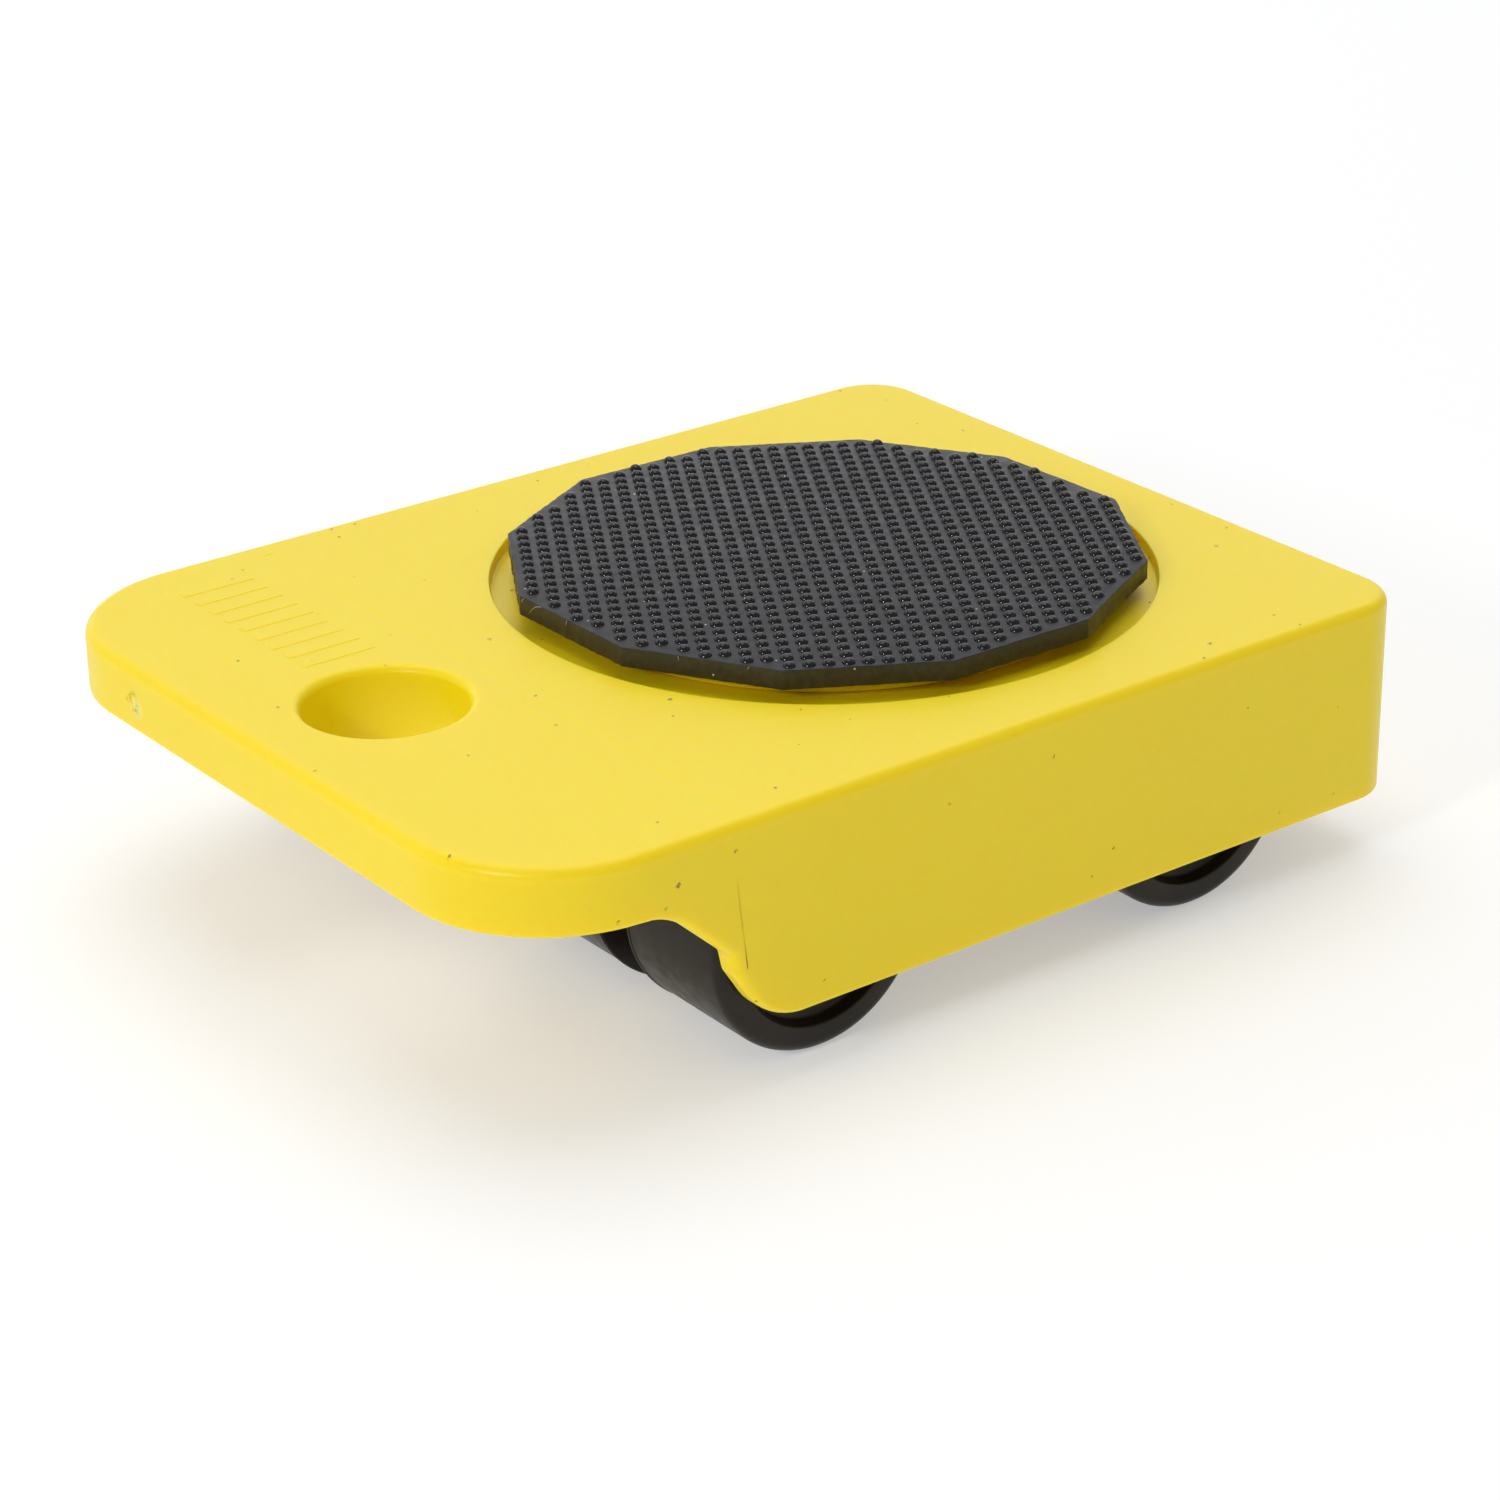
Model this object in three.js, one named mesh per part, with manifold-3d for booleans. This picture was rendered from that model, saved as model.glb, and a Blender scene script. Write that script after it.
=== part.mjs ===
// A furniture dolly: a moulded carrier with a finger lip, eight small wheels on two steel
// axles, and a turntable with a studded rubber pad that takes the load.
// Millimetres, +Z up. The origin is on the floor under the middle of the carrier, +X points
// away from the finger lip and the object is symmetrical about the XZ plane.
import * as THREE from "three";
import { mergeVertices } from "three/addons/utils/BufferGeometryUtils.js";
import Module from "manifold-3d";

const wasm = await Module();
wasm.setup();

// Carrier
const LENGTH = 100;
const WIDTH = 77.2;
const TOP = 25.8; // height of the carrier's top face above the floor
const SKIRT_DEPTH = 19.3;
const LIP_DEPTH = 6;
const LIP_CORNER = 13.7;
const BACK_CORNER = 5.5;
const TOP_FILLET = 1.0;
const WALL = 2.2;
const PLATE = 2.8;
// Side view of the skirt's front edge, going down from the lip: x, depth below the top face
// and how much of each side the rounding of that corner takes.
const SKIRT_EDGE = [
  [-34.9, 6, 2.6],
  [-28.1, 12, 0],
  [-27.7, 13.9, 0],
  [-24.3, 19.3, 3.3],
];

// Ribs under the plate
const RIB = 1.8;
const RIB_ABOVE_LIP = 0.6; // from the lower rim of the lip up to the lower edge of a rib
const RIBS_ACROSS = [-31, -2, 43]; // x of the ribs that run across

// Finger hole through the lip
const HOLE_X = -36.3;
const HOLE_R = 7.4;
const HOLE_FILLET = 0.8;
const COLLAR_R = 9.6;
const COLLAR_DEPTH = 8.4;

// Recess, turntable and pad
const TABLE_X = 12;
const RECESS_R = 31.05;
const RECESS_DEPTH = 1.3;
const TABLE_R = 26;
const TABLE_ABOVE_TOP = 0.26;
const SLIDE_GAP = 0.1;
const HUB_R = 5;
const HUB_HOLE_R = 5.1;
const HUB_BELOW_TOP = 5.55;
const BOSS_R = 7.4;
const BOSS_BELOW_TOP = 5.4;
const PAD_BOTTOM = 0.28; // above the carrier's top face
const PAD_THICKNESS = 2.33;
const PAD_R = 29.8;
const PAD_SIDES = 12;
const PAD_FIRST_CORNER = 134.6; // degrees from +X
// How far each hand-cut corner lies off the true circle, going clockwise from the first.
const PAD_CUT = [0, -0.4, -0.9, -1, -0.4, 0.4, 0.2, -0.4, -0.7, -0.8, -0.4, 0];

// Pivot screw and washer
const WASHER_R = 7;
const WASHER_THICKNESS = 1;
const WASHER_HOLE_R = 1.9;
const SCREW_R = 1.6;
const SCREW_HOLE_R = 1.7;
const SCREW_BITE = 3.4; // length of the shank above the washer
const SCREW_HOLE_TOP = 1.4; // how far below the carrier's top the blind hole ends
const SCREW_POINT_R = 0.8;
const SCREW_POINT = 0.7; // length of the tapered point
const HEAD_R = 3.4;
const HEAD_HEIGHT = 2.2;
// Outline of the domed head: radius and height above its lowest face
const HEAD_DOME = [[2.1, 0], [3.1, 0.6], [3.4, 1.3]];
const DRIVE_WIDTH = 0.9;
const DRIVE_LENGTH = 3.8;
const DRIVE_DEPTH = 1.3;
const SEAT_GAP = 0.02; // between faces that are screwed or bonded together

// Wheels and axles
const WHEEL_R = 11.2;
const WHEEL_WIDTH = 13.2;
const SOFT_EDGE = 1.4; // of the tread, on the side away from the axle seat beside it
const CRISP_EDGE = 0.3; // of the tread, on the side that faces the seat
const WHEEL_BORE_R = 1.55;
const WHEEL_HUB_R = 3.8;
const WHEEL_RIM = 2.6;
const WEB_RECESS = 1.2;
const OUTER_WHEEL_Y = 29; // middle of an outer wheel
const INNER_WHEEL_Y = 10.9; // middle of an inner wheel
const AXLES = [
  { name: "front", x: -16.2 },
  { name: "rear", x: 27 },
];
const AXLE_R = 1.5;
const AXLE_LENGTH = 74.4;
const AXLE_CHAMFER = 0.3;

// Axle seats in the carrier
const SEAT_R = 1.55;
const THROAT = 2.6; // narrower than the axle, so that it snaps in
const MOUTH = 5;
const MOUTH_HEIGHT = 1.6; // above the skirt's lower rim
const PEDESTAL_HALF = 5;
const PEDESTAL_FOOT = 7; // half width where it meets the plate
const PEDESTAL_BELOW_AXLE = 4.4;
const PEDESTAL_STRAIGHT = 3; // above the axle, up to where it starts to widen
const SIDE_PEDESTAL = { y: 19.95, thickness: 3.7 };
const MIDDLE_PEDESTAL = { y: 0, thickness: 7.2 };
const SEAT_IN_WALL = 1.1;

const END = LENGTH / 2;
const HALF = WIDTH / 2;
const SKIRT_Z = TOP - SKIRT_DEPTH;
const LIP_Z = TOP - LIP_DEPTH;
const CEILING = TOP - PLATE; // underside of the plate
const ROOT = CEILING + PLATE / 4; // top of the pieces that grow out of the plate
const AXLE_Z = WHEEL_R;
const EXTRA = 2; // how far a cutter runs past what it cuts

// Flats that stand in for each round
const CORNER_STEPS = 8;
const FILLET_STEPS = 3;
const RECESS_SIDES = 72;
const TABLE_SIDES = 48;
const BORE_SIDES = 40;
const WHEEL_SIDES = 32;
const SCREW_SIDES = 32;
const AXLE_SIDES = 24;

const YELLOW = { color: 0xf3df5f, roughness: 0.42, metalness: 0 };
const RUBBER = { color: 0x2b2b2f, roughness: 0.6, metalness: 0 };
const BLACK = { color: 0x28241f, roughness: 0.38, metalness: 0 };
const STEEL = { color: 0xb9bcc0, roughness: 0.3, metalness: 1 };

// A closed geometry as a solid for joining and cutting.
function solid(geometry) {
  const bare = geometry.clone();
  bare.deleteAttribute("normal");
  bare.deleteAttribute("uv");
  const merged = mergeVertices(bare, 1e-4);
  return new wasm.Manifold(
    new wasm.Mesh({
      numProp: 3,
      vertProperties: merged.attributes.position.array,
      triVerts: new Uint32Array(merged.index.array),
    }),
  );
}

// A solid as a geometry for a mesh.
function geometryOf(body) {
  const mesh = body.getMesh();
  const geometry = new THREE.BufferGeometry();
  geometry.setAttribute("position", new THREE.BufferAttribute(mesh.vertProperties, 3));
  geometry.setIndex(new THREE.BufferAttribute(mesh.triVerts, 1));
  geometry.computeVertexNormals();
  return geometry;
}

function part(name, geometry, look) {
  const mesh = new THREE.Mesh(geometry, new THREE.MeshStandardMaterial({ ...look }));
  mesh.name = name;
  return mesh;
}

// A solid of revolution about Z, from a closed list of [radius, height].
function turned(profile, segments) {
  const points = profile.map(([r, z]) => new THREE.Vector2(r, z));
  return new THREE.LatheGeometry(points, segments).rotateX(Math.PI / 2);
}

// A plain cylinder about Z.
function disc(radius, low, high, segments) {
  const profile = [[0, low], [radius, low], [radius, high], [0, high]];
  return turned(profile, segments);
}

// A box given by its lowest and highest corners.
function box(low, high) {
  const size = high.map((v, i) => v - low[i]);
  const middle = high.map((v, i) => (v + low[i]) / 2);
  return new THREE.BoxGeometry(...size).translate(...middle);
}

// An outline in X and Z pushed through a thickness along Y.
function slab(shape, y, thickness) {
  const options = { depth: thickness, bevelEnabled: false, curveSegments: CORNER_STEPS };
  return new THREE.ExtrudeGeometry(shape, options)
    .rotateX(Math.PI / 2)
    .translate(0, y + thickness / 2, 0);
}

// The carrier's outline seen from above, moved in by a margin.
function planOutline(margin) {
  const x = END - margin;
  const y = HALF - margin;
  const lip = LIP_CORNER - margin;
  const back = BACK_CORNER - margin;
  const shape = new THREE.Shape();
  shape.absarc(x - back, -y + back, back, -Math.PI / 2, 0);
  shape.absarc(x - back, y - back, back, 0, Math.PI / 2);
  shape.absarc(-x + lip, y - lip, lip, Math.PI / 2, Math.PI);
  shape.absarc(-x + lip, -y + lip, lip, Math.PI, 1.5 * Math.PI);
  return shape;
}

// Everything below the carrier: under the lip, down its curved front edge and under the skirt.
function underside() {
  const start = [-END - EXTRA, LIP_DEPTH, 0];
  const finish = [END + EXTRA, SKIRT_DEPTH, 0];
  const line = [start, ...SKIRT_EDGE, finish].map(([x, depth]) => new THREE.Vector2(x, TOP - depth));
  const shape = new THREE.Shape();
  shape.moveTo(line[0].x, line[0].y);
  SKIRT_EDGE.forEach(([, , cut], i) => {
    const [before, corner, after] = line.slice(i, i + 3);
    const from = before.clone().sub(corner).setLength(cut).add(corner);
    const to = after.clone().sub(corner).setLength(cut).add(corner);
    shape.lineTo(from.x, from.y);
    if (cut > 0) {
      shape.quadraticCurveTo(corner.x, corner.y, to.x, to.y);
    }
  });
  shape.lineTo(END + EXTRA, SKIRT_Z);
  shape.lineTo(END + EXTRA, -EXTRA);
  shape.lineTo(-END - EXTRA, -EXTRA);
  shape.closePath();
  return slab(shape, 0, WIDTH + 2 * EXTRA);
}

// Plate, lip and skirt as one block with a rounded top edge, before it is hollowed.
function carrierBlock() {
  const height = TOP - 2 * TOP_FILLET;
  const options = {
    depth: height,
    bevelEnabled: true,
    bevelThickness: TOP_FILLET,
    bevelSize: TOP_FILLET,
    bevelOffset: -TOP_FILLET,
    bevelSegments: FILLET_STEPS,
    curveSegments: CORNER_STEPS,
  };
  return new THREE.ExtrudeGeometry(planOutline(0), options).translate(0, 0, TOP_FILLET);
}

// The hollow inside the skirt and under the lip.
function hollow() {
  const options = {
    depth: CEILING + EXTRA,
    bevelEnabled: false,
    curveSegments: CORNER_STEPS,
  };
  return new THREE.ExtrudeGeometry(planOutline(WALL), options).translate(0, 0, -EXTRA);
}

// Web that hangs from the plate and carries an axle.
function pedestal(x, { y, thickness }) {
  const low = AXLE_Z - PEDESTAL_BELOW_AXLE;
  const shape = new THREE.Shape();
  shape.moveTo(x - PEDESTAL_HALF, low);
  shape.lineTo(x + PEDESTAL_HALF, low);
  shape.lineTo(x + PEDESTAL_HALF, AXLE_Z + PEDESTAL_STRAIGHT);
  shape.lineTo(x + PEDESTAL_FOOT, ROOT);
  shape.lineTo(x - PEDESTAL_FOOT, ROOT);
  shape.lineTo(x - PEDESTAL_HALF, AXLE_Z + PEDESTAL_STRAIGHT);
  shape.closePath();
  return slab(shape, y, thickness);
}

// Keyhole slot that an axle is pushed up into: a round seat, a tight throat and a wide mouth.
function axleSlot(x, length) {
  const throatAngle = Math.asin(THROAT / 2 / SEAT_R);
  const shape = new THREE.Shape();
  shape.moveTo(x - MOUTH / 2, SKIRT_Z - EXTRA);
  shape.lineTo(x + MOUTH / 2, SKIRT_Z - EXTRA);
  shape.lineTo(x + THROAT / 2, SKIRT_Z + MOUTH_HEIGHT);
  shape.absarc(x, AXLE_Z, SEAT_R, throatAngle - Math.PI / 2, 1.5 * Math.PI - throatAngle);
  shape.lineTo(x - THROAT / 2, SKIRT_Z + MOUTH_HEIGHT);
  shape.closePath();
  return slab(shape, 0, length);
}

// Ribs that stiffen the plate from below, running along X and across it.
function ribs() {
  const low = LIP_Z + RIB_ABOVE_LIP;
  const along = [-SIDE_PEDESTAL.y, 0, SIDE_PEDESTAL.y].map((y) =>
    box([-END + WALL / 2, y - RIB / 2, low], [END - WALL / 2, y + RIB / 2, ROOT]),
  );
  const across = RIBS_ACROSS.map((x) =>
    box([x - RIB / 2, -HALF + WALL / 2, low], [x + RIB / 2, HALF - WALL / 2, ROOT]),
  );
  return [...along, ...across];
}

// Cutter for the finger hole, with its rounded top edge.
function holeCutter() {
  const low = TOP - COLLAR_DEPTH - EXTRA;
  const profile = [[0, low], [HOLE_R, low]];
  for (let i = 0; i <= FILLET_STEPS; i += 1) {
    const turn = (i / FILLET_STEPS) * (Math.PI / 2);
    const r = HOLE_R + HOLE_FILLET * (1 - Math.cos(turn));
    profile.push([r, TOP - HOLE_FILLET * (1 - Math.sin(turn))]);
  }
  profile.push([HOLE_R + HOLE_FILLET, TOP + EXTRA]);
  profile.push([0, TOP + EXTRA]);
  return turned(profile, BORE_SIDES).translate(HOLE_X, 0, 0);
}

function carrierShell() {
  const collar = disc(COLLAR_R, TOP - COLLAR_DEPTH, ROOT, BORE_SIDES);
  const boss = disc(BOSS_R, TOP - BOSS_BELOW_TOP, ROOT, BORE_SIDES);
  const recess = disc(RECESS_R, TOP - RECESS_DEPTH, TOP + EXTRA, RECESS_SIDES);
  const hubHole = disc(HUB_HOLE_R, LIP_Z - EXTRA, TOP, BORE_SIDES);
  const additions = [
    ...ribs(),
    collar.translate(HOLE_X, 0, 0),
    boss.translate(TABLE_X, 0, 0),
  ];
  for (const { x } of AXLES) {
    for (const side of [-1, 1]) {
      additions.push(pedestal(x, { ...SIDE_PEDESTAL, y: side * SIDE_PEDESTAL.y }));
    }
    additions.push(pedestal(x, MIDDLE_PEDESTAL));
  }
  const cuts = [recess.translate(TABLE_X, 0, 0), hubHole.translate(TABLE_X, 0, 0), holeCutter()];
  for (const { x } of AXLES) {
    cuts.push(axleSlot(x, WIDTH - 2 * WALL + 2 * SEAT_IN_WALL));
  }
  let body = solid(carrierBlock()).subtract(solid(underside())).subtract(solid(hollow()));
  for (const piece of additions) {
    body = body.add(solid(piece));
  }
  for (const cutter of cuts) {
    body = body.subtract(solid(cutter));
  }
  return part("carrier_shell", geometryOf(body), YELLOW);
}

// Turntable disc with the hub that runs in the carrier, drilled from below for the screw.
function turntable() {
  const under = TOP - RECESS_DEPTH + SLIDE_GAP;
  const hubEnd = TOP - HUB_BELOW_TOP;
  const drilled = TOP - SCREW_HOLE_TOP;
  const profile = [
    [0, drilled],
    [SCREW_HOLE_R, drilled],
    [SCREW_HOLE_R, hubEnd],
    [HUB_R, hubEnd],
    [HUB_R, under],
    [TABLE_R, under],
    [TABLE_R, TOP + TABLE_ABOVE_TOP],
    [0, TOP + TABLE_ABOVE_TOP],
  ];
  return part("turntable", turned(profile, TABLE_SIDES).translate(TABLE_X, 0, 0), YELLOW);
}

// Hand-cut twelve-sided rubber pad, up to the tops of its studs.
function gripPad() {
  const corners = PAD_CUT.map((cut, i) => {
    const angle = THREE.MathUtils.degToRad(PAD_FIRST_CORNER - (i * 360) / PAD_SIDES);
    return new THREE.Vector2(Math.cos(angle), Math.sin(angle)).multiplyScalar(PAD_R + cut);
  });
  const options = { depth: PAD_THICKNESS, bevelEnabled: false };
  const geometry = new THREE.ExtrudeGeometry(new THREE.Shape(corners), options);
  return part("grip_pad", geometry.translate(TABLE_X, 0, TOP + PAD_BOTTOM), RUBBER);
}

function pivotWasher() {
  const high = TOP - HUB_BELOW_TOP - SEAT_GAP;
  const low = high - WASHER_THICKNESS;
  const profile = [
    [WASHER_HOLE_R, low],
    [WASHER_R, low],
    [WASHER_R, high],
    [WASHER_HOLE_R, high],
    [WASHER_HOLE_R, low],
  ];
  return part("pivot_washer", turned(profile, BORE_SIDES).translate(TABLE_X, 0, 0), STEEL);
}

// Pan-head screw with a cross drive, driven up into the hub.
function pivotScrew() {
  const seat = TOP - HUB_BELOW_TOP - WASHER_THICKNESS - 2 * SEAT_GAP;
  const low = seat - HEAD_HEIGHT;
  const tip = seat + WASHER_THICKNESS + SCREW_BITE;
  const profile = [
    [0, low],
    ...HEAD_DOME.map(([r, z]) => [r, low + z]),
    [HEAD_R, seat],
    [SCREW_R, seat],
    [SCREW_R, tip - SCREW_POINT],
    [SCREW_POINT_R, tip],
    [0, tip],
  ];
  let body = solid(turned(profile, SCREW_SIDES));
  for (const [dx, dy] of [[DRIVE_LENGTH, DRIVE_WIDTH], [DRIVE_WIDTH, DRIVE_LENGTH]]) {
    const slot = box([-dx / 2, -dy / 2, low - EXTRA], [dx / 2, dy / 2, low + DRIVE_DEPTH]);
    body = body.subtract(solid(slot));
  }
  return part("pivot_screw", geometryOf(body).translate(TABLE_X, 0, 0), STEEL);
}

function axle(name, x) {
  const half = AXLE_LENGTH / 2;
  const thin = AXLE_R - AXLE_CHAMFER;
  const profile = [
    [0, -half],
    [thin, -half],
    [AXLE_R, -half + AXLE_CHAMFER],
    [AXLE_R, half - AXLE_CHAMFER],
    [thin, half],
    [0, half],
  ];
  const mesh = part(name, turned(profile, AXLE_SIDES), STEEL);
  mesh.rotation.x = Math.PI / 2;
  mesh.position.set(x, 0, AXLE_Z);
  return mesh;
}

// Moulded wheel: a rim with a recessed web on each side and a hub flush with the rim. Its
// soft edge faces along -Y or +Y, by the sign of facing.
function wheel(name, x, y, facing) {
  const half = WHEEL_WIDTH / 2;
  const web = half - WEB_RECESS;
  const rim = WHEEL_R - WHEEL_RIM;
  const side = (edge) => [
    [WHEEL_R, half - edge],
    [WHEEL_R - edge, half],
    [rim, half],
    [rim, web],
    [WHEEL_HUB_R, web],
    [WHEEL_HUB_R, half],
    [WHEEL_BORE_R, half],
  ];
  const otherSide = side(CRISP_EDGE).map(([r, z]) => [r, -z]).reverse();
  const geometry = turned([...otherSide, ...side(SOFT_EDGE), otherSide[0]], WHEEL_SIDES);
  const mesh = part(name, geometry, BLACK);
  mesh.rotation.x = (-facing * Math.PI) / 2;
  mesh.position.set(x, y, AXLE_Z);
  return mesh;
}

// The four wheels of one axle, from the near side (-Y) to the far side (+Y).
function wheelRow(axleName, x) {
  const places = [
    ["right_outer", -OUTER_WHEEL_Y, -1],
    ["right_inner", -INNER_WHEEL_Y, 1],
    ["left_inner", INNER_WHEEL_Y, -1],
    ["left_outer", OUTER_WHEEL_Y, 1],
  ];
  return places.map(([place, y, facing]) => wheel(`${axleName}_${place}_wheel`, x, y, facing));
}

const dolly = new THREE.Group();
dolly.add(carrierShell(), turntable(), gripPad(), pivotWasher(), pivotScrew());
for (const { name, x } of AXLES) {
  dolly.add(axle(`${name}_axle`, x), ...wheelRow(name, x));
}

export default dolly;
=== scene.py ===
"""Looks for a furniture dolly: a yellow moulded carrier on eight black wheels, with a turntable
and a studded rubber pad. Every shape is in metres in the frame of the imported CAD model: the
origin is on the floor, +X points away from the finger lip and +Z is up."""

import math
import random

import bmesh
import bpy
from mathutils import Matrix, Quaternion, Vector, noise


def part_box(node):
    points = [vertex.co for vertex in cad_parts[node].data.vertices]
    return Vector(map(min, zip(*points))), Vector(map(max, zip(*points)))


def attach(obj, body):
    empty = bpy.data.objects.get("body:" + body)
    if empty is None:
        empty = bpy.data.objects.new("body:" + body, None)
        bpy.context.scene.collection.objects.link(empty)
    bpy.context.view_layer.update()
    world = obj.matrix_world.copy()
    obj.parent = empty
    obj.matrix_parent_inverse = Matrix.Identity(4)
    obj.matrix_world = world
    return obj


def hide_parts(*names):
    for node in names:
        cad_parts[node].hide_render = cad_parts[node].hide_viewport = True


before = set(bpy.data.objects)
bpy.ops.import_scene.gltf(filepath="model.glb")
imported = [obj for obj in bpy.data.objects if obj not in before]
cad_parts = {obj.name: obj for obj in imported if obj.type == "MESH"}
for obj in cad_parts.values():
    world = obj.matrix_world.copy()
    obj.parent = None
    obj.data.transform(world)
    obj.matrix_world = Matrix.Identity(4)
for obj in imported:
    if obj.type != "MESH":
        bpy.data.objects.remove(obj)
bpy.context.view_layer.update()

MM = 0.001
random.seed(7)

PAST = 2 * MM  # how far a cutter runs past what it cuts
EMBED = 0.7 * MM  # how far an added piece runs into what it joins
FILLET_STEPS = 6
SHARP_ANGLE = 35  # degrees; edges sharper than this stay sharp in the shading
ROUND_ANGLE = 60  # the same for domes and threads, which have few sides
BEVEL_ANGLE = math.radians(30)  # edges sharper than this are bevelled

# Carrier, from its CAD box and the named sizes of its shape
SHELL_LOW, SHELL_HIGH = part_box("carrier_shell")
END = SHELL_HIGH.x
HALF = SHELL_HIGH.y
TOP = SHELL_HIGH.z
SKIRT_Z = SHELL_LOW.z
LIP_Z = TOP - 6 * MM  # lower rim of the lip
CEILING = TOP - 2.8 * MM  # underside of the plate
WALL = 2.2 * MM
TOP_FILLET = 1.0 * MM
RIM_FILLET = 0.22 * MM
FRONT_FILLET = 1.1 * MM  # outer fillet of the rim where the skirt's front edge is steep
ABOVE_FILLET = 0.2 * MM  # from a rim fillet up to a row of points that keeps the wall flat
LIP_CORNER = 13.7 * MM
BACK_CORNER = 5.5 * MM
CORNER_STEPS = 20
RIB = 1.8 * MM
RIB_LOW = LIP_Z + 0.6 * MM
RIBS_ACROSS = (-31 * MM, -2 * MM, 43 * MM)
LOWER_EDGE = 0.4 * MM  # rounding of the ribs, collar and boss under the plate

# Side view of the skirt's front edge: how far along X, how far below the top, corner radius
SKIRT_EDGE = [(-34.6, 6, 6.9), (-28.1, 12.0, 1.0), (-27.7, 13.9, 1.5), (-24.3, 19.3, 6.0)]

# Marks on the carrier: raised grip bars beside the hole, a sink line and the torn gate
BARS_X = (-38.0 * MM, -30.6 * MM)
BARS_Y = [y * MM for y in (11.0, 13.6, 16.2, 18.8, 21.4, 24.0, 26.6, 29.2, 31.8)]
BAR_WIDTH = 1.1 * MM
BAR_HEIGHT = 0.055 * MM
BAR_DEPTH = 1.0 * MM  # how far a bar runs down into the plate
BAR_EDGE = 0.1 * MM
SINK_X = -26.6 * MM
SINK_DEPTH = 0.035 * MM
SINK_HALF = 1.0 * MM
SINK_FROM_SIDE = 3 * MM
GATE = Vector((-50.0, 20.1, 22.6)) * MM
# The tear is cut in and the flake added, each at a place from the gate and with a half size
TEAR = (Vector((-0.12, 0, 0)) * MM, (0.25 * MM, 1.0 * MM, 1.2 * MM))
FLAKE = (Vector((0.22, -0.1, 0.1)) * MM, (0.18 * MM, 0.5 * MM, 0.8 * MM))
LUMP_ROUGHNESS = 0.9
LUMP_DETAIL = 2.3

# Finger hole, recess and hub
HOLE = Vector((-36.3 * MM, 0, 0))
HOLE_R = 7.4 * MM
HOLE_FILLET = 0.8 * MM
COLLAR_R = 9.6 * MM
COLLAR_LOW = TOP - 8.4 * MM
RECESS_R = 31.05 * MM
RECESS_FLOOR = TOP - 1.3 * MM
RECESS_EDGE = 0.15 * MM
RECESS_FLOOR_EDGE = 0.3 * MM
BOSS_R = 7.4 * MM
BOSS_LOW = TOP - 5.4 * MM
HUB_HOLE_R = 5.1 * MM

# Axle seats
SEAT_R = 1.55 * MM
THROAT = 2.6 * MM
MOUTH = 5.0 * MM
MOUTH_HEIGHT = 1.6 * MM
SEAT_STEPS = 24
PEDESTAL_HALF = 5.0 * MM
PEDESTAL_FOOT = 7.0 * MM  # half width where it meets the plate
PEDESTAL_ABOVE_AXLE = 3 * MM  # up to where it starts to widen
PEDESTAL_BELOW_AXLE = 4.4 * MM
PEDESTAL_EDGE = 0.25 * MM
PEDESTALS = [(-19.95 * MM, 3.7 * MM), (0, 7.2 * MM), (19.95 * MM, 3.7 * MM)]  # y, thickness
SEAT_IN_WALL = 1.1 * MM

# Turntable disc
SLIDE_GAP = 0.1 * MM
HUB_R = 5.0 * MM
SCREW_BORE_R = 1.7 * MM
SCREW_BORE_TOP = TOP - 1.4 * MM
HUB_EDGE = 0.4 * MM
HUB_ROOT = 0.15 * MM
DISC_LOWER_EDGE = 0.25 * MM
DISC_UPPER_EDGE = 0.35 * MM

# Pad
PAD_LOW, PAD_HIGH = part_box("grip_pad")
PAD_R = 29.8 * MM
PAD_SIDES = 12
PAD_FIRST_CORNER = math.radians(134.6)
# How far each hand-cut corner lies off the true circle, in millimetres
PAD_CUT = [0, -0.4, -0.9, -1, -0.4, 0.4, 0.2, -0.4, -0.7, -0.8, -0.4, 0]
PAD_EDGE = 0.07 * MM
KNIFE_STEPS = 30
KNIFE_WOBBLE = (-0.06, 0.05)  # millimetres inwards and outwards
STUD_HEIGHT = 0.46 * MM
STUD_R = 0.65 * MM
STUD_MARGIN = 0.64 * MM
STUD_ROW_ANGLE = math.radians(59.4)
STUD_PITCH = (1.668 * MM, 1.736 * MM)
STUD_PHASE = (0.746, 0.151)
STUD_SIDES = 12
STUD_RINGS = (2, 18, 34, 50, 68)  # degrees above the sphere's equator
STUD_SMALLEST = 0.97
PAD_FACE = PAD_HIGH.z - STUD_HEIGHT

# Loose threads: side of the pad, place along it, length in millimetres and lean along the side
THREADS = [(0, 0.22, 1.25, -0.5), (0, 0.47, 0.6, 0.7), (0, 0.04, 0.5, 0.3), (11, 0.93, 0.45, 0.2),
           (11, 0.6, 0.4, -0.6), (1, 0.35, 0.5, 0.6), (1, 0.8, 0.35, -0.4), (5, 0.3, 0.4, 0.5)]
THREAD_R = 0.035 * MM
THREAD_TAPER = 0.6
THREAD_IN_PAD = 0.15 * MM
THREAD_LIFT = 0.25
THREAD_BEND = 2.4  # radians of a sine wave along its length
THREAD_DROOP = 0.5
THREAD_STEPS = 8
THREAD_SIDES = 6

# Washer and screw
WASHER_HOLE_R = 1.9 * MM
WASHER_EDGE = 0.15 * MM
HEAD_R = 3.4 * MM
HEAD_HEIGHT = 2.2 * MM
HEAD_FACE = 0.72  # of the head's radius, where its flat lower face ends
HEAD_SIDE = 1.2 * MM  # height of the head's widest place above its lower face
FACE_FILLET = 1.1 * MM
SIDE_FILLET = 0.9 * MM
SEAT_FILLET = 0.1 * MM
SHANK_R = 1.6 * MM
SCREW_POINT = 0.7 * MM
DRIVE_LENGTH = 3.8 * MM
DRIVE_WIDTH = 0.9 * MM
DRIVE_DEPTH = 1.3 * MM

# Axles and wheels
AXLES = ("front", "rear")
AXLE_CHAMFER = 0.3 * MM
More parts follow.
